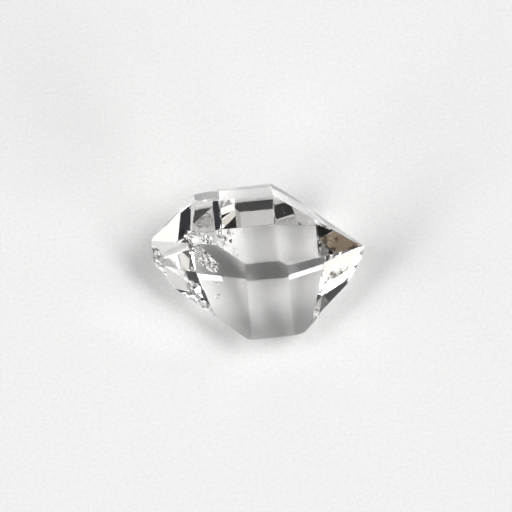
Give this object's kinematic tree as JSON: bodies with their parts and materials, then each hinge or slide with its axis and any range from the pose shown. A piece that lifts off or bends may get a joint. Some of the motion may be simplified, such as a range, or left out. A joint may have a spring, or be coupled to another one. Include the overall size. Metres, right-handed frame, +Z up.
{
  "type": "herkimer diamond quartz crystal",
  "caption": "Loose clear quartz crystal, pointed at both ends, with flat prism and pyramid faces, a rough groove, pits and a chipped point; lies on a prism face for display.",
  "frame": {"origin": "centre of the box at the level of the face that the crystal rests on", "axes": "+X along the crystal's long axis towards its sharp point, +Y away from the front, +Z up"},
  "size_m": [0.0248, 0.0184, 0.0156],
  "materials": {
    "clear_quartz": "clear and glossy natural crystal faces, with small matt breaks"
  },
  "bodies": {
    "root": {"crystal": "clear_quartz"}
  },
  "joints": []
}
